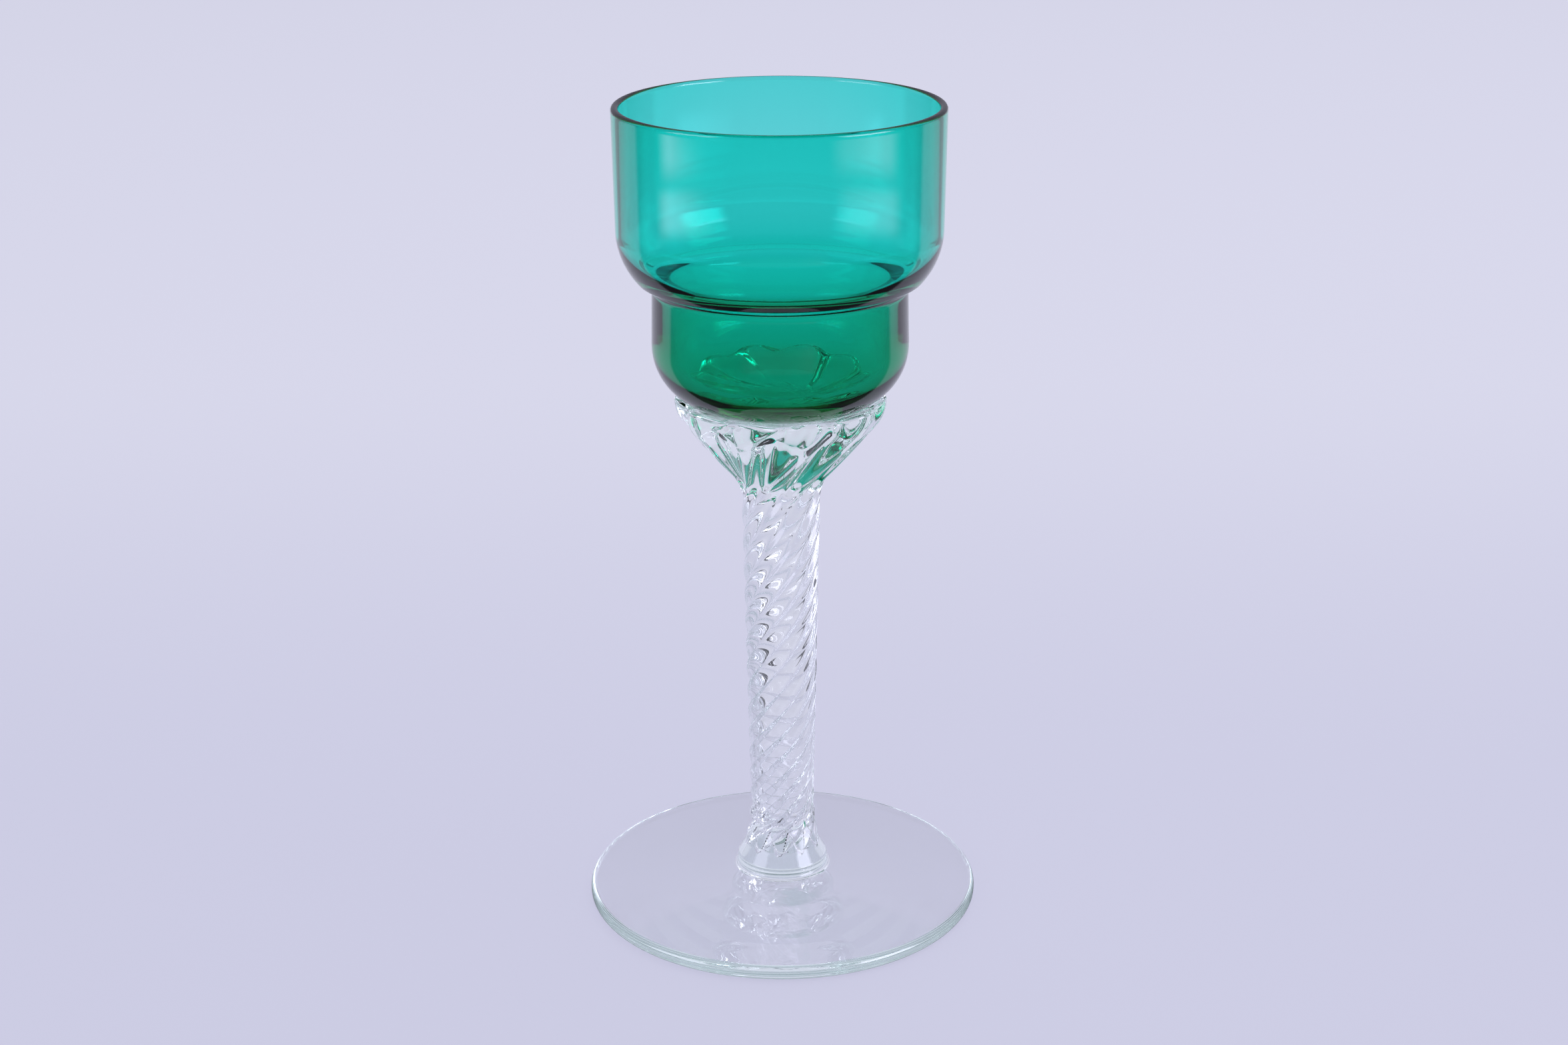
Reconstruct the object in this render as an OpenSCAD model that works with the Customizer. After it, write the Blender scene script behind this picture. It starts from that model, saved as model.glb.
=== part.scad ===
// Port glass in three gathers of glass joined hot: a green blown bowl, a clear
// stem with twisted ribs that opens into a lobed cup under the bowl, and a
// clear disc foot. Millimetres, +Z up, the origin on the table under the
// middle of the foot. Outlines are half sections: [radius, height, rounding].

/* [Foot] */
// Diameter of the foot
foot_d = 65.6; // [60:0.2:72]
// Thickness of the foot at its rounded edge
foot_edge_t = 2.4; // [1.8:0.1:3]
// Slope of the foot's upper face, in degrees
foot_slope = 4; // [1:0.5:6]
// Height of the boss that the stem stands on
boss_h = 11; // [10:0.5:13]
// Diameter of the boss at its flat top
boss_top_d = 12.4; // [11.6:0.2:13.4]
// Diameter of the boss at its widest, low down
boss_low_d = 18.2; // [16.6:0.2:20]
// Height of the boss's widest part
boss_low_h = 7; // [6.4:0.1:7.6]
// Radius of the full curve round the boss's widest part
boss_r = 1.6; // [1:0.1:1.8]
// Radius of the tight curve where the boss meets the upper face
foot_fillet_r = 0.8; // [0.4:0.1:1]

/* [Stem] */
// Length from the top of the boss to the lowest point of the bowl
stem_l = 74.7; // [68:0.1:84]
// Number of ribs, and of lobes on the cup
ribs = 10; // [8:1:12]
// Diameter over the ribs at the slim end, near the foot
stem_low_d = 10.6; // [9.6:0.2:11.6]
// Diameter over the ribs at the top, where the stem opens
stem_top_d = 13; // [12:0.2:14]
// Depth of the grooves between the ribs at the slim end
groove_low_depth = 0.75; // [0.4:0.05:1.1]
// Depth of the grooves where the stem opens
groove_top_depth = 0.55; // [0.3:0.05:0.9]
// Height over which the grooves die out into the boss
groove_fade = 4; // [3:0.5:8]
// Twist of the ribs near the foot, in degrees for each millimetre
twist_low = 10.6; // [7:0.2:12]
// Twist of the ribs where the stem opens, in degrees for each millimetre
twist_top = 6.8; // [4:0.2:9]

/* [Lobed cup] */
// Distance from the side of the bulb in to the tips of the lobes
lobes_in = 3.65; // [3.2:0.05:4.4]
// Thickness of a lobe at its rounded tip
lobe_tip_t = 1.3; // [1:0.1:1.5]
// Distance that the lobe tips spring clear of the bowl
lobe_gap = 0.45; // [0.2:0.05:0.7]
// Depth of the notches between the lobe tips, measured along the bowl
notch_depth = 1.7; // [1:0.1:2.2]
// Lean of the cup's flank from upright, in degrees
flank_lean = 42; // [38:1:45]
// Radius of the hollow curve where the stem opens
throat_r = 7; // [4:0.5:9]
// Radius of the full curve under the lobe tips
lobe_belly_r = 6; // [4:0.5:7]
// Radius of the same curve in the hollows between the lobes
hollow_belly_r = 2.2; // [1.5:0.1:3]

/* [Bowl] */
// Height of the bowl from its lowest point to the lip
bowl_h = 49.3; // [44:0.1:56]
// Outer diameter of the upper cup above its shoulder
cup_d = 51.5; // [49:0.1:54]
// Flare of the upper cup's wall from there out to the lip
lip_flare = 0.35; // [0:0.05:1]
// Thickness of the rounded lip
lip_t = 1.3; // [1.1:0.1:1.6]
// Wall of the upper cup above its shoulder
cup_wall = 0.9; // [0.6:0.1:1.2]
// Radius of the shoulder's outer curve
shoulder_r = 12; // [9:0.5:13]
// Radius of the shoulder's inner curve
shoulder_inner_r = 8.5; // [6:0.5:10]
// Lean of the shoulder from upright where it turns in, in degrees
shoulder_lean = 39; // [34:1:44]
// Step in from the cup's wall to the ledge where the shoulder turns under
shoulder_in = 3.05; // [2.5:0.05:3.6]
// Height of the ledge above the bowl's lowest point
ledge_h = 22; // [21:0.1:24]
// Thickness of the glass at the ledge, measured upright
ledge_t = 2.2; // [1.6:0.1:3]
// Slope of the ledge's underside, in degrees
ledge_slope = 24; // [15:1:32]
// Radius of the curve at the edge of the ledge
ledge_r = 1.3; // [0.8:0.1:1.8]
// Step in from the ledge to the waist
ledge_in = 2.4; // [2:0.1:2.9]
// Wall at the top of the waist
waist_wall = 2.3; // [2:0.1:2.8]
// Radius of the hollow curve round the waist
waist_r = 1.6; // [1:0.1:2]
// Radius of the full curve inside the waist
waist_inner_r = 1.6; // [1:0.1:2]
// Height of the narrowest ring inside, above the bowl's lowest point
ring_h = 14.3; // [13.5:0.1:15]
// Thickness of the glass at that ring
ring_wall = 4; // [3.4:0.1:4.4]
// Radius of the full curve at that ring, and of the hollow curve under it
ring_r = 2.4; // [1.6:0.1:2.6]
// Drop from that ring to where the bulb is full inside
ring_drop = 3.7; // [3.2:0.1:4.2]
// Step out from the waist to the side of the lower bulb
bulb_out = 0.4; // [0.2:0.1:0.9]
// Radius of the lower bulb's outer curve
bulb_r = 9.8; // [8.5:0.1:11]
// Wall of the lower bulb
bulb_wall = 1.9; // [1.4:0.1:2.4]
// Radius of the lower bulb's inner curve
bulb_inner_r = 3.4; // [2.4:0.1:3.6]
// Thickness of the bowl's base at its middle
base_t = 4.2; // [3:0.1:5]
// Slope of the bowl's underside, in degrees
base_slope = 7; // [4:0.5:9]

/* [Fit] */
// Clearance between the bowl and the cup that it sits in
seat_gap = 0.05; // [0.04:0.01:0.1]

/* [Hidden] */
$fn = 96;
// Steps in a rounded corner of the bowl and the foot, and of the stem
turned_steps = 12;
stem_steps = 6;
// Steps over a lobe's rounded tip, and from there down to the seat
tip_steps = 5;
spring_steps = 3;
// Points around one rib, and the longest step along the stem
rib_points = 8;
stem_step = 1.5;
step_slack = 0.001;
// Fullness of a rib's section: 1 is an even wave, larger is a wider rib
rib_fullness = 1.2;
// How the twist slackens as the cup widens: the power of the radius
twist_power = 2;
// Share of a thickness that rounds each of its two edges
edge_share = 0.48;

seat_z = boss_h + stem_l;
lip_z = seat_z + bowl_h;

// Corner helpers: a, b and c are corners of an outline, and b is rounded.
function unit(v) = v / norm(v);
function flat(p) = [p.x, p.y];
function half_angle(a, b, c) = acos(unit(a - b) * unit(c - b)) / 2;
function corner_mid(a, b, c, r) =
    b + unit(unit(a - b) + unit(c - b)) * r / sin(half_angle(a, b, c));
function turned(v, a) = [v.x * cos(a) - v.y * sin(a), v.x * sin(a) + v.y * cos(a)];

function corner_arc(a, b, c, r, steps) =
    let (
        mid = corner_mid(a, b, c, r),
        reach = r / tan(half_angle(a, b, c)),
        start = b + unit(a - b) * reach - mid,
        side = cross(b - a, c - b) > 0 ? 1 : -1,
        turn = side * (180 - 2 * half_angle(a, b, c))
    )
    [for (i = [0:steps]) mid + turned(start, turn * i / steps)];

// The outline with its corners rounded. A rounding of 0 stays sharp.
function rounded(corners, steps) =
    [for (i = [0:len(corners) - 1])
        each corners[i][2] == 0
            ? [flat(corners[i])]
            : corner_arc(flat(corners[i - 1]), flat(corners[i]),
                         flat(corners[i + 1]), corners[i][2], steps)];

// Bowl: the outer side runs up from the lowest point, round the bulb, in at
// the waist, out over the ledge and the shoulder, and up to the lip.
ledge_x = cup_d / 2 - shoulder_in;
waist_x = ledge_x - ledge_in;
bulb_x = waist_x + bulb_out;
base_mid = [0, seat_z, 0];
bulb_corner = [bulb_x, seat_z + bulb_x * tan(base_slope), bulb_r];
waist_z = seat_z + ledge_h - ledge_in * tan(ledge_slope);
waist_corner = [waist_x, waist_z, waist_r];
ledge_corner = [ledge_x, seat_z + ledge_h, ledge_r];
shoulder_corner = [
    cup_d / 2,
    seat_z + ledge_h + shoulder_in / tan(shoulder_lean),
    shoulder_r
];
lip_x = cup_d / 2 + lip_flare;
lip_round = lip_t * edge_share;
bowl_outer = [
    base_mid, bulb_corner, waist_corner, ledge_corner, shoulder_corner,
    [lip_x, lip_z, lip_round]
];

// The inner side runs back down from the lip, and in to a thick ring below
// the waist.
ledge_top_z = seat_z + ledge_h + ledge_t;
shoulder_inner_x = cup_d / 2 - cup_wall;
bulb_inner_x = bulb_x - bulb_wall;
bowl_inner = [
    [lip_x - lip_t, lip_z, lip_round],
    [
        shoulder_inner_x,
        ledge_top_z + (shoulder_inner_x - ledge_x) / tan(shoulder_lean),
        shoulder_inner_r
    ],
    [ledge_x, ledge_top_z, ledge_r],
    [waist_x - waist_wall, waist_z, waist_inner_r],
    [waist_x - ring_wall, seat_z + ring_h, ring_r],
    [bulb_inner_x, seat_z + ring_h - ring_drop, ring_r],
    [bulb_inner_x, seat_z + base_t + bulb_inner_x * tan(base_slope), bulb_inner_r],
    [0, seat_z + base_t, 0]
];

// Stem and cup. The seat follows the arc of the bulb: a point on it is given
// by its angle from straight down, and by how far it lies off the glass.
bulb_mid = corner_mid(flat(base_mid), flat(bulb_corner), flat(waist_corner), bulb_r);
function off_bulb(a, gap) = bulb_mid + (bulb_r + gap) * [sin(a), -cos(a)];

tip_r = lobe_tip_t / 2;
tip_gap = lobe_gap + tip_r;
tip_angle = asin((bulb_x - lobes_in - tip_r - bulb_mid.x) / (bulb_r + tip_gap));
notch_angle = tip_angle - notch_depth / bulb_r * 180 / PI;
seat_angle = (notch_angle + base_slope) / 2;

// From the outermost point of a lobe's tip, over it and down to the seat.
function tip_path(a) =
    concat(
        [for (i = [0:tip_steps])
            off_bulb(a, tip_gap) + tip_r * [cos(i / tip_steps * (90 + a)),
                                            sin(i / tip_steps * (90 + a))]],
        [for (i = [1:spring_steps])
            let (left = 1 - i / spring_steps)
            off_bulb(seat_angle + (a - seat_angle) * left,
                     seat_gap + (lobe_gap - seat_gap) * left * left)],
        [off_bulb(base_slope, seat_gap)]
    );

// The outer side from the boss to a lobe's tip, along a crest or a groove.
lobe_out = off_bulb(tip_angle, tip_gap) + [tip_r, 0];
notch_out = off_bulb(notch_angle, tip_gap) + [tip_r, 0];
belly_z = lobe_out.y - lobe_belly_r * tan(flank_lean / 2);
throat_z = belly_z - (lobe_out.x - stem_top_d / 2) / tan(flank_lean);
slim_r = 40;

crest_corners = [
    [boss_top_d / 2, boss_h, 0],
    [stem_low_d / 2, boss_h + groove_fade, slim_r],
    [stem_top_d / 2, throat_z, throat_r],
    [lobe_out.x, belly_z, lobe_belly_r],
    [lobe_out.x, lobe_out.y, 0]
];
groove_corners = [
    [boss_top_d / 2, boss_h, 0],
    [stem_low_d / 2 - groove_low_depth, boss_h + groove_fade, groove_fade],
    [stem_top_d / 2 - groove_top_depth, throat_z, throat_r],
    [notch_out.x, notch_out.y - hollow_belly_r * tan(flank_lean / 2), hollow_belly_r],
    [notch_out.x, notch_out.y, 0]
];
crest_side = rounded(crest_corners, stem_steps);
groove_side = rounded(groove_corners, stem_steps);

// Extra points along the straight stretches, as many as the crest needs.
function stepped(path) =
    [for (i = [0:len(path) - 2])
        let (n = ceil(norm(crest_side[i + 1] - crest_side[i]) / stem_step - step_slack))
        for (k = [0:1:n - 1])
            path[i] + (path[i + 1] - path[i]) * k / n];

crest = concat(stepped(crest_side), tip_path(tip_angle));
groove = concat(stepped(groove_side), tip_path(notch_angle));
tip_ring = len(stepped(crest_side));

// Twist: a rate for each height, less where the cup is wide, and its sum.
function twist_rate(p) =
    let (up = (p.y - boss_h) / (throat_z - boss_h))
    (twist_low + (twist_top - twist_low) * min(up, 1))
        * pow(min(stem_top_d / 2 / p.x, 1), twist_power);
twist = [for (
    i = 0, sum = 0;
    i < len(crest);
    sum = sum + (i < tip_ring
        ? twist_rate(crest[i]) * (crest[min(i + 1, tip_ring)].y - crest[i].y)
        : 0),
    i = i + 1
) sum];

around = ribs * rib_points;

// One ring of the skin: between a groove and a crest the section is full.
function ring(i) =
    [for (j = [0:around - 1])
        let (
            u = (j % rib_points) / rib_points,
            full = 1 - pow((1 - cos(360 * u)) / 2, rib_fullness),
            p = groove[i] + (crest[i] - groove[i]) * full,
            a = 360 * j / around + twist[i] - twist[tip_ring]
        )
        [p.x * cos(a), p.x * sin(a), p.y]];

module ribbed_skin() {
    rings = len(crest);
    top = around * rings;
    points = concat(
        [for (i = [0:rings - 1]) each ring(i)],
        [[0, 0, seat_z - seat_gap / cos(base_slope)]]
    );
    faces = concat(
        [[for (j = [0:around - 1]) j]],
        [for (i = [0:rings - 2], j = [0:around - 1])
            let (a = i * around + j, b = i * around + (j + 1) % around)
            each [[a, a + around, b + around], [a, b + around, b]]],
        [for (j = [0:around - 1])
            [top - around + j, top, top - around + (j + 1) % around]]
    );
    polyhedron(points, faces);
}

// Foot: a disc with a rounded edge, and the boss on it that the stem meets.
foot_r = foot_d / 2;
foot_round = foot_edge_t * edge_share;
boss_r_low = boss_low_d / 2;
foot_outline = [
    [0, 0, 0],
    [foot_r, 0, foot_round],
    [foot_r, foot_edge_t, foot_round],
    [
        boss_r_low,
        foot_edge_t + (foot_r - boss_r_low) * tan(foot_slope),
        foot_fillet_r
    ],
    [boss_r_low, boss_low_h, boss_r],
    [boss_top_d / 2, boss_h, 0],
    [0, boss_h, 0]
];

module bowl() {
    color([0.0, 0.66, 0.6, 0.6])
    rotate_extrude()
    polygon(rounded(concat(bowl_outer, bowl_inner), turned_steps));
}

module stem() {
    color([0.9, 0.92, 0.95, 0.6])
    ribbed_skin();
}

module foot() {
    color([0.86, 0.9, 0.92, 0.6])
    rotate_extrude()
    polygon(rounded(foot_outline, turned_steps));
}

bowl();
stem();
foot();
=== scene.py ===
# Port glass on a pale lavender sweep: a green blown bowl on a clear twisted stem and foot.
# Everything is in metres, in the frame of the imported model, +Z up, foot on z = 0.
import math

import bpy
from mathutils import Matrix, Vector


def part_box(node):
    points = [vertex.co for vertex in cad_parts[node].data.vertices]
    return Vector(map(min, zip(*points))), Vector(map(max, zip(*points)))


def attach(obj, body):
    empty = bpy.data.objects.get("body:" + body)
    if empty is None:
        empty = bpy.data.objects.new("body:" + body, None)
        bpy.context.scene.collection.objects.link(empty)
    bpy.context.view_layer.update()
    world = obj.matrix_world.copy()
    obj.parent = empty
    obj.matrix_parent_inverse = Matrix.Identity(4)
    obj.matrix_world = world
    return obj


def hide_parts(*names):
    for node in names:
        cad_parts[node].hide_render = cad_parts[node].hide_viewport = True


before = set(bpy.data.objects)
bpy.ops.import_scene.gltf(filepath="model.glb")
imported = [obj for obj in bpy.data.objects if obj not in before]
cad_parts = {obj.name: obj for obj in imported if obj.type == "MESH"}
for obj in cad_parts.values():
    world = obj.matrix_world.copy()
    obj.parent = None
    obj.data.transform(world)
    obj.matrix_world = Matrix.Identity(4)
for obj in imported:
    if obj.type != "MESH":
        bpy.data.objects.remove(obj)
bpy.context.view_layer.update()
mm = 0.001
edgeShare = 0.48  # a rounded edge takes nearly half of the glass's thickness on each side
hair = 0.01 * mm  # slack where two places are compared
print("frame loaded: nodes", sorted(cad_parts))

bowlLow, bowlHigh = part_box("bowl")
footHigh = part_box("foot")[1]


# Small helpers

def linearColour(hexText):
    # sRGB hex to the linear colour that a shader socket takes
    def channel(at):
        value = int(hexText[at:at + 2], 16) / 255
        return value / 12.92 if value <= 0.04045 else ((value + 0.055) / 1.055) ** 2.4
    return (channel(1), channel(3), channel(5), 1.0)


def addNode(tree, kind, settings=None, links=None):
    # a key is a property of the node, or the name or the number of one of its inputs
    node = tree.nodes.new(kind)
    for key, value in (settings or {}).items():
        if isinstance(key, str) and hasattr(node, key):
            setattr(node, key, value)
        else:
            node.inputs[key].default_value = value
    for key, source in (links or {}).items():
        tree.links.new(source, node.inputs[key])
    return node


def newMaterial(name):
    material = bpy.data.materials.new(name)
    material.use_nodes = True
    material.node_tree.nodes.clear()
    return material, material.node_tree


def placed(name, data):
    thing = bpy.data.objects.new(name, data)
    bpy.context.scene.collection.objects.link(thing)
    return thing


# Outlines are half sections. A corner is (radius, height, rounding), all in metres.

def roundedOutline(corners, steps):
    points = []
    for at, (x, z, rounding) in enumerate(corners):
        corner = Vector((x, z))
        if rounding == 0:
            points.append(corner)
            continue
        back = (Vector(corners[at - 1][:2]) - corner).normalized()
        ahead = (Vector(corners[at + 1][:2]) - corner).normalized()
        halfAngle = back.angle(ahead) / 2
        middle = corner + (back + ahead).normalized() * rounding / math.sin(halfAngle)
        start = corner + back * rounding / math.tan(halfAngle) - middle
        side = 1 if ahead.x * back.y - ahead.y * back.x > 0 else -1
        turn = side * (math.pi - 2 * halfAngle)
        for step in range(steps + 1):
            points.append(middle + Matrix.Rotation(turn * step / steps, 2) @ start)
    return points


def stepCounts(points, longest):
    # how many steps each stretch needs, so that none is longer than the longest one
    return [max(1, math.ceil((b - a).length / longest - 1e-6)) for a, b in zip(points, points[1:])]


def subdivided(points, counts):
    # each stretch between two points is cut into its own count of steps
    fine = []
    for a, b, count in zip(points, points[1:], counts):
        fine += [a.lerp(b, step / count) for step in range(count)]
    return fine + [points[-1]]


def revolvedMesh(name, outline, around):
    # a closed skin of revolution: the outline starts and ends on the axis
    mesh = bpy.data.meshes.new(name)
    rings = outline[1:-1]
    points = [
        (ring.x * math.cos(angle), ring.x * math.sin(angle), ring.y)
        for ring in rings
        for angle in (math.tau * j / around for j in range(around))
    ]
    first, last = len(points), len(points) + 1
    points += [(0, 0, outline[0].y), (0, 0, outline[-1].y)]
    top = (len(rings) - 1) * around
    faces = []
    for j in range(around):
        k = (j + 1) % around
        faces.append((first, k, j))
        faces.append((last, top + j, top + k))
        for i in range(0, top, around):
            faces.append((i + j, i + k, i + around + k, i + around + j))
    mesh.from_pydata(points, [], faces)
    mesh.shade_smooth()
    return mesh


def storeOnRings(mesh, name, values, around, kind="FLOAT"):
    # one value for each point of the outline goes to all the points of its ring
    spread = [value for value in values[1:-1] for _ in range(around)] + [values[0], values[-1]]
    attribute = mesh.attributes.new(name, kind, "POINT")
    if kind == "FLOAT":
        attribute.data.foreach_set("value", spread)
    else:
        attribute.data.foreach_set("vector", [number for vector in spread for number in vector])


# Camera: the photograph's place, 39 cm in front and 20 cm up, looking down by 20 degrees

cameraSizes = {
    "place": (0.48 * mm, -385.98 * mm, 204.81 * mm),
    "lookDown": 19.73,
    "roll": -0.23,
    "lens": 57.59,
    "nearest": 10 * mm,
}
cameraData = bpy.data.cameras.new("camera")
cameraData.lens = cameraSizes["lens"]
cameraData.clip_start = cameraSizes["nearest"]
camera = bpy.data.objects.new("camera", cameraData)
camera.matrix_world = (
    Matrix.Translation(cameraSizes["place"])
    @ Matrix.Rotation(math.radians(90 - cameraSizes["lookDown"]), 4, "X")
    @ Matrix.Rotation(math.radians(cameraSizes["roll"]), 4, "Z")
)
bpy.context.scene.collection.objects.link(camera)
bpy.context.scene.camera = camera
print("camera placed")


# Bowl: blown green glass, a cup on a lower bulb with a waist between them

bowlSizes = {
    "lipThick": 1.3 * mm,
    "cupRadius": 25.75 * mm,
    "cupWall": 0.9 * mm,
    "shoulderRound": 12 * mm,
    "shoulderInnerRound": 8.5 * mm,
    "shoulderLean": 39,  # degrees from upright
    "ledgeRadius": 22.7 * mm,
    "ledgeHeight": 22 * mm,
    "ledgeThick": 2.2 * mm,
    "ledgeSlope": 24,  # degrees from level
    "ledgeRound": 1.3 * mm,
    "waistRadius": 20.3 * mm,
    "waistWall": 2.3 * mm,
    "waistRound": 1.6 * mm,
    "waistInnerRound": 1.6 * mm,
    "bulbRadius": 20.7 * mm,
    "bulbRound": 9.8 * mm,
    "bulbWall": 3.8 * mm,
    "bulbInnerRound": 5 * mm,
    "baseThick": 4.2 * mm,
    "baseSlope": 7,  # degrees from level
    "around": 256,
    "longestStep": 0.5 * mm,
    "cornerSteps": 16,
}
seatHeight = bowlLow.z
seatGap = 0.02 * mm  # what is left between the bowl and the cup that is fused to it
baseTan = math.tan(math.radians(bowlSizes["baseSlope"]))


def bowlOutline():
    s = bowlSizes
    lip = s["lipThick"] * edgeShare
    leanTan = math.tan(math.radians(s["shoulderLean"]))
    waistHeight = seatHeight + s["ledgeHeight"] - (
        s["ledgeRadius"] - s["waistRadius"]) * math.tan(math.radians(s["ledgeSlope"]))
    ledgeTop = seatHeight + s["ledgeHeight"] + s["ledgeThick"]
    innerCup = s["cupRadius"] - s["cupWall"]
    innerBulb = s["bulbRadius"] - s["bulbWall"]
    lipRadius = bowlHigh.x
    corners = [
        (0, seatHeight, 0),
        (s["bulbRadius"], seatHeight + s["bulbRadius"] * baseTan, s["bulbRound"]),
        (s["waistRadius"], waistHeight, s["waistRound"]),
        (s["ledgeRadius"], seatHeight + s["ledgeHeight"], s["ledgeRound"]),
        (s["cupRadius"], seatHeight + s["ledgeHeight"] + (s["cupRadius"] - s["ledgeRadius"]) / leanTan,
         s["shoulderRound"]),
        (lipRadius, bowlHigh.z, lip),
        (lipRadius - s["lipThick"], bowlHigh.z, lip),
        (innerCup, ledgeTop + (innerCup - s["ledgeRadius"]) / leanTan, s["shoulderInnerRound"]),
        (s["ledgeRadius"], ledgeTop, s["ledgeRound"]),
        (s["waistRadius"] - s["waistWall"], waistHeight, s["waistInnerRound"]),
        (innerBulb, seatHeight + s["baseThick"] + innerBulb * baseTan, s["bulbInnerRound"]),
        (0, seatHeight + s["baseThick"], 0),
    ]
    return roundedOutline(corners, s["cornerSteps"])


# The bulb's own arc, which the cup is seated on: a point is given by its angle from straight down
bulbArc = roundedOutline([
    (0, seatHeight, 0),
    (bowlSizes["bulbRadius"], seatHeight + bowlSizes["bulbRadius"] * baseTan, bowlSizes["bulbRound"]),
    (bowlSizes["bulbRadius"], seatHeight + bowlSizes["ledgeHeight"], 0),
], 1)
bulbMiddle = bulbArc[1] + Vector((
    -math.sin(math.radians(bowlSizes["baseSlope"])),
    math.cos(math.radians(bowlSizes["baseSlope"])),
)) * bowlSizes["bulbRound"]


def offBulb(angle, gap):
    return bulbMiddle + (bowlSizes["bulbRound"] + gap) * Vector((math.sin(angle), -math.cos(angle)))


# Stem, lobed cup and foot: one gather of clear glass, with ribs that twist as a right-hand screw

stemSizes = {
    "ribs": 10,
    "lowRadius": 5.3 * mm,
    "topRadius": 6.5 * mm,
    "grooveLowDepth": 0.85 * mm,
    "grooveTopDepth": 0.65 * mm,
    "grooveFade": 4 * mm,
    "bossTopHeight": 9.2 * mm,
    "bossTopRadius": 6.2 * mm,
    "bossTopRound": 2 * mm,
    "bossLowRadius": 7.6 * mm,
    "bossLowHeight": 6.8 * mm,
    "bossRound": 1.6 * mm,
    "footEdge": 2.4 * mm,
    "footSlope": 6,  # degrees from level
    "footFillet": 0.9 * mm,
    "twistLow": 10.6,  # degrees for each millimetre of height
    "twistTop": 6.8,
    "lobesRadius": 17.05 * mm,
    "lobeTip": 1.3 * mm,
    "lobeGap": 0.45 * mm,
    "notchDepth": 1.7 * mm,
    "flankLean": 42,  # degrees from upright
    "throatRound": 7 * mm,
    "lobeBelly": 6 * mm,
    "hollowBelly": 2.2 * mm,
    "slimRound": 40 * mm,
    "fusedRadius": 7 * mm,
    "springGap": 0.15 * mm,
    "fullness": 1.2,  # above 1 the ribs are wide and the grooves narrow
    "around": 240,
    "longestStep": 0.6 * mm,
    "cornerSteps": 14,
    "tipSteps": 12,
    "springSteps": 20,
    "seamSteps": 10,
    "fusedSteps": 12,
}


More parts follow.
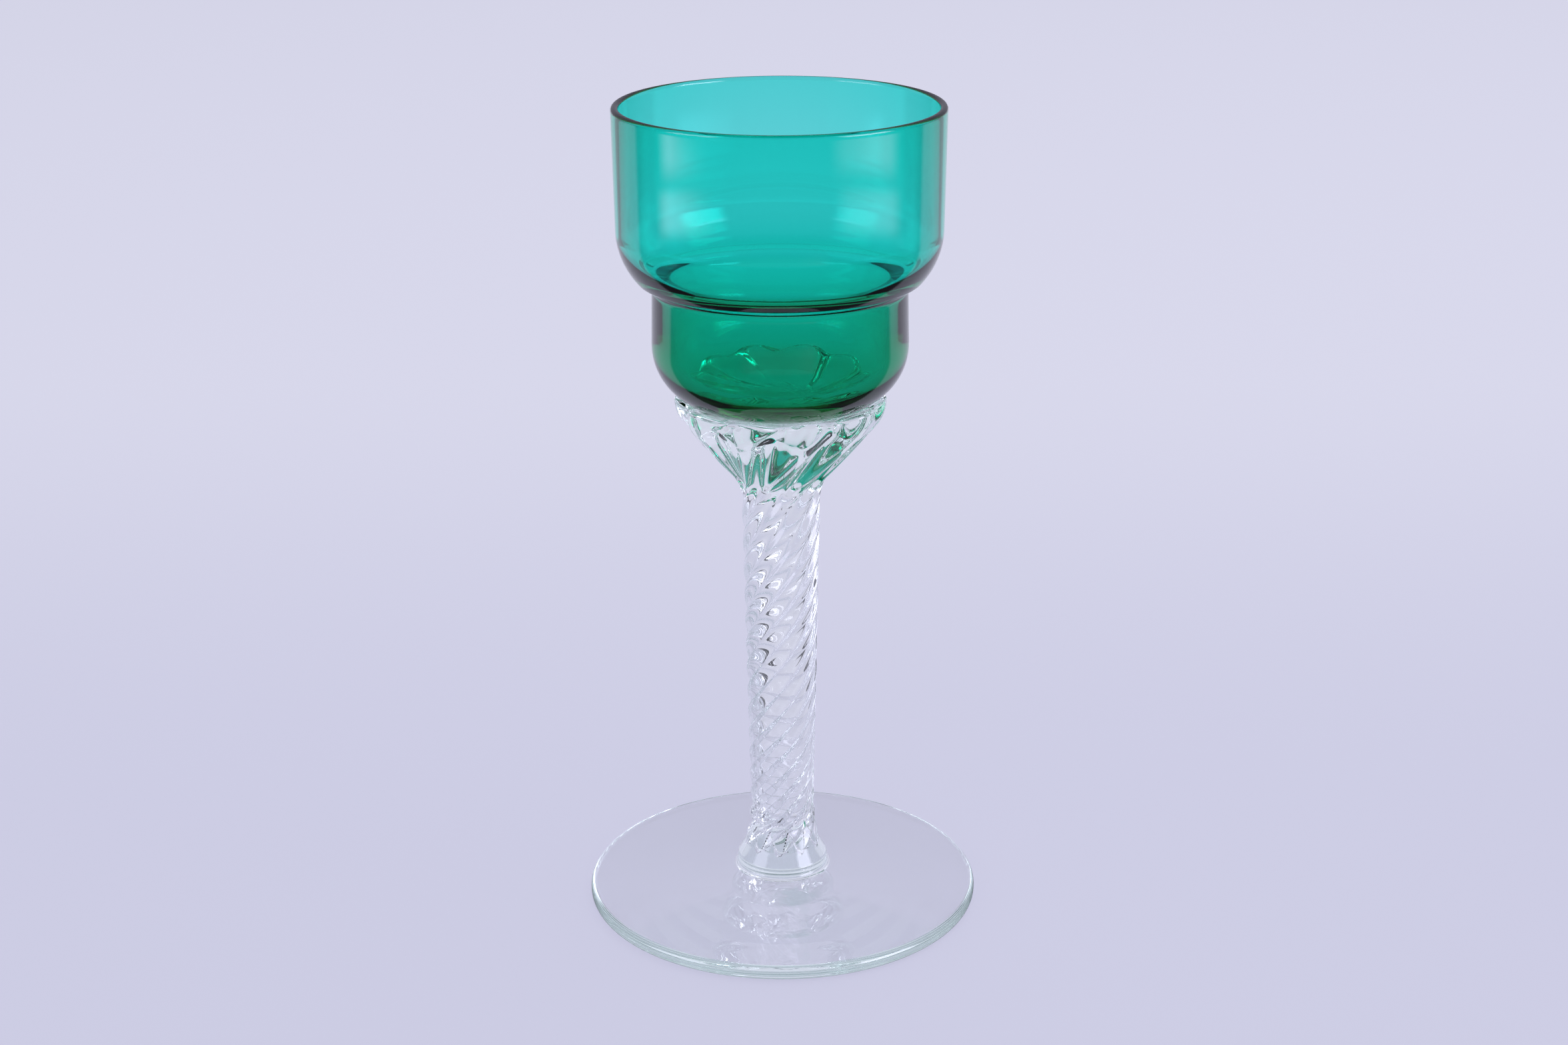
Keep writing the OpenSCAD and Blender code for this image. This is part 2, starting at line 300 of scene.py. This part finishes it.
def clearOutlines():
    # the crests' outline, the grooves' outline, the twist at each of their points, and where it is fused
    s = stemSizes
    tipRound = s["lobeTip"] / 2
    tipGap = s["lobeGap"] + tipRound
    bulbRound = bowlSizes["bulbRound"]
    tipAngle = math.asin((s["lobesRadius"] - tipRound - bulbMiddle.x) / (bulbRound + tipGap))
    notchAngle = tipAngle - s["notchDepth"] / bulbRound
    baseAngle = math.radians(bowlSizes["baseSlope"])
    flankTan = math.tan(math.radians(s["flankLean"] / 2))

    footRadius, edge, bossHeight = footHigh.x, s["footEdge"], s["bossTopHeight"]
    slopeTan = math.tan(math.radians(s["footSlope"]))
    foot = [
        (0, 0, 0),
        (footRadius, 0, edge * edgeShare),
        (footRadius, edge, edge * edgeShare),
        (s["bossLowRadius"], edge + (footRadius - s["bossLowRadius"]) * slopeTan, s["footFillet"]),
        (s["bossLowRadius"], s["bossLowHeight"], s["bossRound"]),
        (s["bossTopRadius"], bossHeight, s["bossTopRound"]),
    ]
    lobeOut = offBulb(tipAngle, tipGap) + Vector((tipRound, 0))
    notchOut = offBulb(notchAngle, tipGap) + Vector((tipRound, 0))
    bellyHeight = lobeOut.y - s["lobeBelly"] * flankTan
    throatHeight = bellyHeight - (lobeOut.x - s["topRadius"]) / math.tan(math.radians(s["flankLean"]))
    slimHeight = bossHeight + s["grooveFade"]
    crestCorners = foot + [
        (s["lowRadius"], slimHeight, s["slimRound"]),
        (s["topRadius"], throatHeight, s["throatRound"]),
        (lobeOut.x, bellyHeight, s["lobeBelly"]),
        (lobeOut.x, lobeOut.y, 0),
    ]
    grooveCorners = foot + [
        (s["lowRadius"] - s["grooveLowDepth"], slimHeight, s["grooveFade"]),
        (s["topRadius"] - s["grooveTopDepth"], throatHeight, s["throatRound"]),
        (notchOut.x, notchOut.y - s["hollowBelly"] * flankTan, s["hollowBelly"]),
        (notchOut.x, notchOut.y, 0),
    ]
    crestSide = roundedOutline(crestCorners, s["cornerSteps"])
    counts = stepCounts(crestSide, s["longestStep"])
    outer = [
        subdivided(crestSide, counts),
        subdivided(roundedOutline(grooveCorners, s["cornerSteps"]), counts),
    ]
    tipRing = len(outer[0]) - 1

    def overTip(angle):
        # over the lobe's round tip, down to the bowl, and along it to the middle
        path = []
        for step in range(1, s["tipSteps"] + 1):
            turn = step / s["tipSteps"] * (math.pi / 2 + angle)
            path.append(offBulb(angle, tipGap) + tipRound * Vector((math.cos(turn), math.sin(turn))))
        for step in range(1, s["springSteps"] + 1):
            left = 1 - step / s["springSteps"]
            path.append(offBulb(baseAngle + (angle - baseAngle) * left,
                                s["springGap"] + (s["lobeGap"] - s["springGap"]) * left * left))
        lowest = Vector((0, seatHeight - seatGap / math.cos(baseAngle)))
        seam = lowest + s["fusedRadius"] * Vector((1, baseTan))
        for start, end, steps in ((path[-1], seam, s["seamSteps"]), (seam, lowest, s["fusedSteps"])):
            path += [start.lerp(end, step / steps) for step in range(1, steps + 1)]
        return path

    crest, groove = outer[0] + overTip(tipAngle), outer[1] + overTip(notchAngle)
    seamRing = len(crest) - 1 - s["fusedSteps"]
    fused = [1.0 if at >= seamRing else 0.0 for at in range(len(crest))]

    # the twist slackens upwards, and faster still where the lobed cup widens
    twist = [0.0]
    for at, (low, high) in enumerate(zip(crest, crest[1:])):
        up = max(0, min(1, (low.y - bossHeight) / (throatHeight - bossHeight)))
        rate = s["twistLow"] + (s["twistTop"] - s["twistLow"]) * up
        rate *= min(s["topRadius"] / max(low.x, mm), 1) ** 2
        grows = at < tipRing and low.y > edge
        twist.append(twist[-1] + (math.radians(rate) * (high.y - low.y) / mm if grows else 0))
    return crest, groove, [turn - twist[tipRing] for turn in twist], fused


def ribbingTree():
    # hollows the grooves out of a plain turned skin, then twists it about its axis
    tree = bpy.data.node_groups.new("twisted ribs", "GeometryNodeTree")
    for name, kind in (("Geometry", "NodeSocketGeometry"), ("Ribs", "NodeSocketFloat"),
                       ("Fullness", "NodeSocketFloat"), ("Glass", "NodeSocketMaterial")):
        tree.interface.new_socket(name, in_out="INPUT", socket_type=kind)
    tree.interface.new_socket("Geometry", in_out="OUTPUT", socket_type="NodeSocketGeometry")
    given = addNode(tree, "NodeGroupInput")
    place = addNode(tree, "GeometryNodeInputPosition")
    apart = addNode(tree, "ShaderNodeSeparateXYZ", links={0: place.outputs[0]})
    angle = addNode(tree, "ShaderNodeMath", {"operation": "ARCTAN2"},
                    {0: apart.outputs["Y"], 1: apart.outputs["X"]})
    turns = addNode(tree, "ShaderNodeMath", {"operation": "DIVIDE", 1: math.tau}, {0: angle.outputs[0]})
    ribsRound = addNode(tree, "ShaderNodeMath", {"operation": "MULTIPLY"},
                        {0: turns.outputs[0], 1: given.outputs["Ribs"]})
    phase = addNode(tree, "ShaderNodeMath", {"operation": "MULTIPLY", 1: math.tau},
                    {0: ribsRound.outputs[0]})
    wave = addNode(tree, "ShaderNodeMath", {"operation": "COSINE"}, {0: phase.outputs[0]})
    halves = addNode(tree, "ShaderNodeMath", {"operation": "MULTIPLY_ADD", 1: -0.5, 2: 0.5},
                     {0: wave.outputs[0]})
    share = addNode(tree, "ShaderNodeMath", {"operation": "POWER"},
                    {0: halves.outputs[0], 1: given.outputs["Fullness"]})
    hollow = addNode(tree, "GeometryNodeInputNamedAttribute",
                     {"data_type": "FLOAT_VECTOR", "Name": "hollow"})
    inward = addNode(tree, "ShaderNodeVectorRotate", {"rotation_type": "Z_AXIS"},
                     {"Vector": hollow.outputs[0], "Angle": angle.outputs[0]})
    depth = addNode(tree, "ShaderNodeVectorMath", {"operation": "SCALE"},
                    {0: inward.outputs[0], "Scale": share.outputs[0]})
    ribbed = addNode(tree, "ShaderNodeVectorMath", {"operation": "ADD"},
                     {0: place.outputs[0], 1: depth.outputs[0]})
    twist = addNode(tree, "GeometryNodeInputNamedAttribute", {"data_type": "FLOAT", "Name": "twist"})
    twisted = addNode(tree, "ShaderNodeVectorRotate", {"rotation_type": "Z_AXIS"},
                      {"Vector": ribbed.outputs[0], "Angle": twist.outputs[0]})
    skin = addNode(tree, "GeometryNodeSetPosition",
                   links={"Geometry": given.outputs["Geometry"], "Position": twisted.outputs[0]})
    real = addNode(tree, "GeometryNodeRealizeInstances", links={"Geometry": skin.outputs[0]})
    glazed = addNode(tree, "GeometryNodeSetMaterial",
                     links={"Geometry": real.outputs[0], "Material": given.outputs["Glass"]})
    addNode(tree, "NodeGroupOutput", links={0: glazed.outputs[0]})
    return tree


# Materials

glassSizes = {
    "ior": 1.52,
    "greenPass": "#00f7f0",
    "greenDensity": 1650,  # red is gone after 2 mm, and green and blue stay
    "clearPass": "#f3fcf7",
    "clearDensity": 25,  # a breath of green along the foot's edge
}


def glassMaterial(name, passed, density):
    # soda-lime glass: clean sharp refraction, and colour that deepens with the thickness;
    # where bowl and cup are fused the index fades to 1, so that no skin of air mirrors between them
    material, tree = newMaterial(name)
    fused = addNode(tree, "ShaderNodeAttribute", {"attribute_name": "fused"})
    ior = addNode(tree, "ShaderNodeMath",
                  {"operation": "MULTIPLY_ADD", 1: 1 - glassSizes["ior"], 2: glassSizes["ior"]},
                  {0: fused.outputs["Fac"]})
    surface = addNode(tree, "ShaderNodeBsdfPrincipled",
                      {"Base Color": linearColour("#ffffff"), "Roughness": 0.0, "IOR": glassSizes["ior"],
                       "Transmission Weight": 1.0},
                      {"IOR": ior.outputs[0]})
    inside = addNode(tree, "ShaderNodeVolumeAbsorption",
                     {"Color": linearColour(passed), "Density": density})
    addNode(tree, "ShaderNodeOutputMaterial",
            links={"Surface": surface.outputs[0], "Volume": inside.outputs[0]})
    return material


greenGlass = glassMaterial("green blown glass", glassSizes["greenPass"], glassSizes["greenDensity"])
clearGlass = glassMaterial("clear mould-ribbed glass", glassSizes["clearPass"], glassSizes["clearDensity"])


def makeClearGlass():
    crest, groove, twist, fused = clearOutlines()
    around = stemSizes["around"]
    mesh = revolvedMesh("plainStem", crest, around)
    hollows = [(b.x - a.x, 0, b.y - a.y) for a, b in zip(crest, groove)]
    storeOnRings(mesh, "hollow", hollows, around, "FLOAT_VECTOR")
    storeOnRings(mesh, "twist", twist, around)
    storeOnRings(mesh, "fused", fused, around)
    plain = placed("plainStem", mesh)
    modifier = plain.modifiers.new("ribs", "NODES")
    modifier.node_group = ribbingTree()
    given = {"Ribs": float(stemSizes["ribs"]), "Fullness": stemSizes["fullness"], "Glass": clearGlass}
    for item in modifier.node_group.interface.items_tree:
        if item.name in given:
            modifier[item.identifier] = given[item.name]
    bpy.context.view_layer.update()
    graph = bpy.context.evaluated_depsgraph_get()
    finished = bpy.data.meshes.new_from_object(plain.evaluated_get(graph))
    bpy.data.objects.remove(plain)
    for spent in ("hollow", "twist"):
        finished.attributes.remove(finished.attributes[spent])
    finished.shade_smooth()
    return placed("clear_stem_and_foot", finished)


clearPiece = makeClearGlass()
print("clear glass made:", len(clearPiece.data.polygons), "faces")


def makeBowl():
    corners = bowlOutline()
    outline = subdivided(corners, stepCounts(corners, bowlSizes["longestStep"]))
    around = bowlSizes["around"]
    mesh = revolvedMesh("green_bowl", outline, around)
    seam = stemSizes["fusedRadius"] + hair
    fused = [
        1.0 if point.x < seam and point.y < seatHeight + seam * baseTan + hair else 0.0
        for point in outline
    ]
    storeOnRings(mesh, "fused", fused, around)
    mesh.materials.append(greenGlass)
    return placed("green_bowl", mesh)


bowlPiece = makeBowl()
print("bowl made:", len(bowlPiece.data.polygons), "faces")


# Stage: one lavender floor that runs out to a lavender world. The eye sees both even and pale.
# What the glass lets through or mirrors is lit by zones: the table round the foot, a lane behind,
# the floor in front and the ceiling are bright, and the rest is a dim room that darkens the rims;
# on the floor these zones are painted light and painted shade in its glow, in the world they are its light.
# Spreads and directions are degrees round from straight behind the glass, and reaches are metres.

stageSizes = {
    "floorRadius": 6.0,
    "floorSides": 96,
    "floorDrop": 0.05 * mm,  # just clear of the foot's underside
    "floorColour": "#d5d5ed",
    "backColour": "#e0e0f4",
    "backFrom": 0.02,
    "backTo": 0.32,
    "glow": 1.15,
    "mattShare": 0.25,  # of the paper, which takes the shadow
    # painted contact shade round the foot, in the floor's glow
    "paintedShadeNear": 0.88,
    "paintedShadeReach": 0.012,
    "tableRadius": 0.37,
    "farFloor": 0.9,
    "rimSoft": 0.05,  # of a radius
    "edgeSoft": 0.05,  # radians
    "backSpread": 28,
    "flareFrom": 0.30,
    "flareSpread": 50,
    "wideSpread": 68,
    "frontFrom": 68,
    "frontSoft": 8,
    "frontLevel": 1.8,
    "roomFront": 0.3,
    "roomLevel": 0.08,
    "backTop": 50,
    "topLevel": 0.75,
    "mirrorLevel": 0.45,
    "boxFrom": 100,
    "boxTo": 135,
    "boxEdge": 0.1,
    "boxLow": 3,
    "boxHigh": 32,
    "boxRim": 0.03,
    "boxSides": (0.2, 0.5, 1.0),  # how far out, level on the left, level on the right
    "boxLevel": 8.0,
}


# Three painted patches of window light in the floor's glow, mottled as light through leaves
paintedWindowSizes = {
    "patches": (
        {"near": 0.575, "far": 0.70, "soft": 0.03, "from": 97, "to": 142, "level": 7.0},
        {"near": 0.485, "far": 0.545, "soft": 0.015, "from": 94, "to": 138, "level": 5.0},
        {"near": 0.40, "far": 0.45, "soft": 0.01, "from": 150, "to": 200, "level": 2.5},
    ),
    "edge": 0.12,
    "sides": (0.1, 1.0, 0.55),
    "mottleScale": 9.0,
    "mottleDetail": 2.0,
    "mottleFrom": 0.38,
    "mottleTo": 0.58,
}


def offBehind(tree, apart, behind=0.0):
    # how far round from straight behind the glass, or from straight behind a point there
    source = apart.outputs["Y"]
    if behind:
        less = addNode(tree, "ShaderNodeMath", {"operation": "SUBTRACT", 1: behind}, {0: source})
        source = less.outputs[0]
    angle = addNode(tree, "ShaderNodeMath", {"operation": "ARCTAN2"}, {0: apart.outputs["X"], 1: source})
    return addNode(tree, "ShaderNodeMath", {"operation": "ABSOLUTE"}, {0: angle.outputs[0]})


def wedge(tree, off, spread):
    # 1 inside the spread, and the room's low level outside it
    edge, soft = math.radians(spread), stageSizes["edgeSoft"]
    return addNode(tree, "ShaderNodeMapRange",
                   {"interpolation_type": "SMOOTHSTEP", "From Min": edge - soft, "From Max": edge + soft,
                    "To Min": 1.0, "To Max": stageSizes["roomLevel"]},
                   {"Value": off.outputs[0]})


def frontShare(tree, off, level):
    # the camera's side of the room
    return addNode(tree, "ShaderNodeMapRange",
                   {"From Min": math.radians(stageSizes["frontFrom"]),
                    "From Max": math.radians(stageSizes["frontFrom"] + stageSizes["frontSoft"]),
                    "To Min": 0.0, "To Max": level},
                   {"Value": off.outputs[0]})


def sideShare(tree, apart, reach, left, right):
    # the light on one side is the weaker one
    return addNode(tree, "ShaderNodeMapRange",
                   {"From Min": -reach, "From Max": reach, "To Min": left, "To Max": right},
                   {"Value": apart.outputs["X"]})


def seenShare(tree, light, mirrored, through):
    # the eye sees all of it; reflections and what the glass lets through see their own share
    clear = addNode(tree, "ShaderNodeMath", {"operation": "MULTIPLY"},
                    {0: through.outputs[0], 1: light.outputs["Is Transmission Ray"]})
    turned = addNode(tree, "ShaderNodeMath", {"operation": "SUBTRACT", "use_clamp": True},
                     {0: light.outputs["Is Glossy Ray"], 1: light.outputs["Is Transmission Ray"]})
    shown = addNode(tree, "ShaderNodeMath", {"operation": "MULTIPLY_ADD"},
                    {0: mirrored.outputs[0], 1: turned.outputs[0], 2: clear.outputs[0]})
    return addNode(tree, "ShaderNodeMath", {"operation": "MAXIMUM"},
                   {0: shown.outputs[0], 1: light.outputs["Is Camera Ray"]})


def softBand(tree, source, low, high, soft):
    # 1 between the two values, and 0 outside them
    rise = addNode(tree, "ShaderNodeMapRange",
                   {"interpolation_type": "SMOOTHSTEP", "From Min": low - soft, "From Max": low + soft},
                   {"Value": source})
    fall = addNode(tree, "ShaderNodeMapRange",
                   {"interpolation_type": "SMOOTHSTEP", "From Min": high - soft, "From Max": high + soft,
                    "To Min": 1.0, "To Max": 0.0},
                   {"Value": source})
    return addNode(tree, "ShaderNodeMath", {"operation": "MULTIPLY"},
                   {0: rise.outputs[0], 1: fall.outputs[0]})


def paintedWindowShare(tree, apart, out):
    # painted pools of light, as from two windows, lie on the floor in front; only reflections show them
    off = offBehind(tree, apart)
    s = paintedWindowSizes
    total = None
    for patch in s["patches"]:
        spread = softBand(tree, off.outputs[0], math.radians(patch["from"]), math.radians(patch["to"]),
                          s["edge"])
        reach = softBand(tree, out.outputs["Value"], patch["near"], patch["far"], patch["soft"])
        both = addNode(tree, "ShaderNodeMath", {"operation": "MULTIPLY"},
                       {0: spread.outputs[0], 1: reach.outputs[0]})
        lit = addNode(tree, "ShaderNodeMath", {"operation": "MULTIPLY", 1: patch["level"]},
                      {0: both.outputs[0]})
        total = lit if total is None else addNode(
            tree, "ShaderNodeMath", {"operation": "ADD"}, {0: total.outputs[0], 1: lit.outputs[0]})
    mottle = addNode(tree, "ShaderNodeTexNoise", {"Scale": s["mottleScale"], "Detail": s["mottleDetail"]})
    spots = addNode(tree, "ShaderNodeMapRange",
                    {"interpolation_type": "SMOOTHSTEP", "From Min": s["mottleFrom"],
                     "From Max": s["mottleTo"]},
                    {"Value": mottle.outputs["Fac"]})
    mottled = addNode(tree, "ShaderNodeMath", {"operation": "MULTIPLY"},
                      {0: total.outputs[0], 1: spots.outputs[0]})
    return addNode(tree, "ShaderNodeMath", {"operation": "MULTIPLY"},
                   {0: mottled.outputs[0], 1: sideShare(tree, apart, *s["sides"]).outputs[0]})


def floorMaterial():
    # matt paper; it glows a little, so that it stays even and pale to the eye; what the glass lets through
    # or mirrors of it is painted light and painted shade in zones, with a painted contact shade round the
    # foot
    s = stageSizes
    material, tree = newMaterial("matt lavender paper")
    spot = addNode(tree, "ShaderNodeTexCoord")
    apart = addNode(tree, "ShaderNodeSeparateXYZ", links={0: spot.outputs["Object"]})
    away = addNode(tree, "ShaderNodeMapRange",
                   {"interpolation_type": "SMOOTHSTEP", "From Min": s["backFrom"], "From Max": s["backTo"]},
                   {"Value": apart.outputs["Y"]})
    colour = addNode(tree, "ShaderNodeMix",
                     {"data_type": "RGBA", 6: linearColour(s["floorColour"]),
                      7: linearColour(s["backColour"])},
                     {0: away.outputs[0]})
    out = addNode(tree, "ShaderNodeVectorMath", {"operation": "LENGTH"}, {0: spot.outputs["Object"]})
    near = addNode(tree, "ShaderNodeMapRange",
                   {"interpolation_type": "SMOOTHSTEP", "From Min": s["tableRadius"],
                    "From Max": s["tableRadius"] * (1 + s["rimSoft"]), "To Min": 1.0, "To Max": 0.0},
                   {"Value": out.outputs["Value"]})
    far = addNode(tree, "ShaderNodeMapRange",
                  {"interpolation_type": "SMOOTHSTEP", "From Min": s["farFloor"] * (1 - s["rimSoft"]),
                   "From Max": s["farFloor"] * (1 + s["rimSoft"])},
                  {"Value": out.outputs["Value"]})
    beyond = addNode(tree, "ShaderNodeMath", {"operation": "SUBTRACT", 0: 1.0}, {1: near.outputs[0]})

    # the painted lane of light behind the glass is narrow beside it and flares further out
    off = offBehind(tree, apart)
    lane = addNode(tree, "ShaderNodeMath", {"operation": "MINIMUM"},
                   {0: wedge(tree, off, s["backSpread"]).outputs[0],
                    1: wedge(tree, offBehind(tree, apart, s["flareFrom"]), s["flareSpread"]).outputs[0]})
    front = addNode(tree, "ShaderNodeMath", {"operation": "MULTIPLY"},
                    {0: beyond.outputs[0], 1: frontShare(tree, off, s["frontLevel"]).outputs[0]})
    # painted light and painted shade in the floor's glow, which the glass lets through
    through = lane
    for extra in (far, near, front):
        through = addNode(tree, "ShaderNodeMath", {"operation": "MAXIMUM"},
                          {0: through.outputs[0], 1: extra.outputs[0]})
    light = addNode(tree, "ShaderNodeLightPath")
    seen = seenShare(tree, light, wedge(tree, off, s["wideSpread"]), through)

    # painted contact shade: ambient occlusion darkens the floor's glow round the foot
    close = addNode(tree, "ShaderNodeAmbientOcclusion", {"Distance": s["paintedShadeReach"]})
    shade = addNode(tree, "ShaderNodeMapRange",
                    {"To Min": s["paintedShadeNear"] * s["glow"], "To Max": s["glow"]},
                    {"Value": close.outputs["AO"]})
    shaded = addNode(tree, "ShaderNodeMath", {"operation": "MULTIPLY"},
                     {0: seen.outputs[0], 1: shade.outputs[0]})
    # painted pools of window light, added to the floor's glow for reflections only
    paintedWindow = addNode(tree, "ShaderNodeMath", {"operation": "MULTIPLY"},
                     {0: light.outputs["Is Glossy Ray"], 1: paintedWindowShare(tree, apart, out).outputs[0]})
    level = addNode(tree, "ShaderNodeMath", {"operation": "ADD"},
                    {0: shaded.outputs[0], 1: paintedWindow.outputs[0]})
    glow = addNode(tree, "ShaderNodeEmission",
                   links={"Color": colour.outputs[2], "Strength": level.outputs[0]})
    matt = addNode(tree, "ShaderNodeBsdfDiffuse", links={"Color": colour.outputs[2]})
    sheet = addNode(tree, "ShaderNodeMixShader", {0: s["mattShare"]},
                    {1: glow.outputs[0], 2: matt.outputs[0]})
    addNode(tree, "ShaderNodeOutputMaterial", links={"Surface": sheet.outputs[0]})
    return material


def makeFloor():
    mesh = bpy.data.meshes.new("floor")
    radius, count = stageSizes["floorRadius"], stageSizes["floorSides"]
    rim = [
        (radius * math.cos(math.tau * j / count), radius * math.sin(math.tau * j / count),
         -stageSizes["floorDrop"])
        for j in range(count)
    ]
    mesh.from_pydata(rim, [], [tuple(range(count))])
    mesh.materials.append(floorMaterial())
    placed("floor", mesh)


def makeWorld():
    # pale behind the glass, a little light from above, and a pair of soft boxes at the camera's sides
    s = stageSizes
    world = bpy.data.worlds.new("studio")
    bpy.context.scene.world = world
    world.use_nodes = True
    tree = world.node_tree
    tree.nodes.clear()
    spot = addNode(tree, "ShaderNodeTexCoord")
    apart = addNode(tree, "ShaderNodeSeparateXYZ", links={0: spot.outputs["Generated"]})
    off = offBehind(tree, apart)
    upper = math.sin(math.radians(s["backTop"]))
    low, high = (
        addNode(tree, "ShaderNodeMapRange",
                {"interpolation_type": "SMOOTHSTEP", "From Min": upper - s["edgeSoft"],
                 "From Max": upper + s["edgeSoft"], "To Min": below, "To Max": above},
                {"Value": apart.outputs["Z"]})
        for below, above in ((1.0, s["roomLevel"]), (0.0, s["topLevel"]))
    )
    behind = addNode(tree, "ShaderNodeMath", {"operation": "MULTIPLY"},
                     {0: low.outputs[0], 1: wedge(tree, off, s["wideSpread"]).outputs[0]})

    around = softBand(tree, off.outputs[0], math.radians(s["boxFrom"]), math.radians(s["boxTo"]),
                      s["boxEdge"])
    lifted = softBand(tree, apart.outputs["Z"], math.sin(math.radians(s["boxLow"])),
                      math.sin(math.radians(s["boxHigh"])), s["boxRim"])
    boxes = addNode(tree, "ShaderNodeMath", {"operation": "MULTIPLY", 1: s["boxLevel"]},
                    {0: around.outputs[0]})
    for share in (lifted, sideShare(tree, apart, *s["boxSides"])):
        boxes = addNode(tree, "ShaderNodeMath", {"operation": "MULTIPLY"},
                        {0: boxes.outputs[0], 1: share.outputs[0]})

    dimmed = addNode(tree, "ShaderNodeMath", {"operation": "MULTIPLY", 1: s["mirrorLevel"]},
                     {0: behind.outputs[0]})
    mirrored = addNode(tree, "ShaderNodeMath", {"operation": "MAXIMUM"},
                       {0: dimmed.outputs[0], 1: boxes.outputs[0]})
    through = behind
    for extra in (high, frontShare(tree, off, s["roomFront"]), boxes):
        through = addNode(tree, "ShaderNodeMath", {"operation": "MAXIMUM"},
                          {0: through.outputs[0], 1: extra.outputs[0]})
    light = addNode(tree, "ShaderNodeLightPath")
    level = seenShare(tree, light, mirrored, through)
    sky = addNode(tree, "ShaderNodeBackground", {"Color": linearColour(s["backColour"])},
                  {"Strength": level.outputs[0]})
    addNode(tree, "ShaderNodeOutputWorld", links={0: sky.outputs[0]})


lampSizes = {
    "place": (0.35, 0.25, 1.2),
    "side": 1.2,
    "watts": 5.0,
}


def makeLamp():
    # one large overhead lamp, on the right behind, for the floor's soft shadow
    data = bpy.data.lights.new("overhead softbox", "AREA")
    data.shape = "SQUARE"
    data.size = lampSizes["side"]
    data.energy = lampSizes["watts"]
    lamp = placed("overhead softbox", data)
    lamp.location = lampSizes["place"]
    lamp.visible_camera = False
    lamp.visible_transmission = False
    lamp.visible_glossy = False


makeFloor()
makeWorld()
makeLamp()
print("stage set")

throughBounces = 48  # light runs far round inside the foot's rim and the ribs before it leaves
mirrorBounces = 32

scene = bpy.context.scene
scene.view_settings.view_transform = "Standard"
scene.cycles.use_denoising = True
scene.cycles.max_bounces = throughBounces
scene.cycles.transmission_bounces = throughBounces
scene.cycles.glossy_bounces = mirrorBounces

for piece, nodes, slot in (
    (clearPiece, ("stem", "foot"), "clear_glass"),
    (bowlPiece, ("bowl",), "green_glass"),
):
    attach(piece, "root")
    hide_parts(*nodes)

print("pieces ride on the frame")
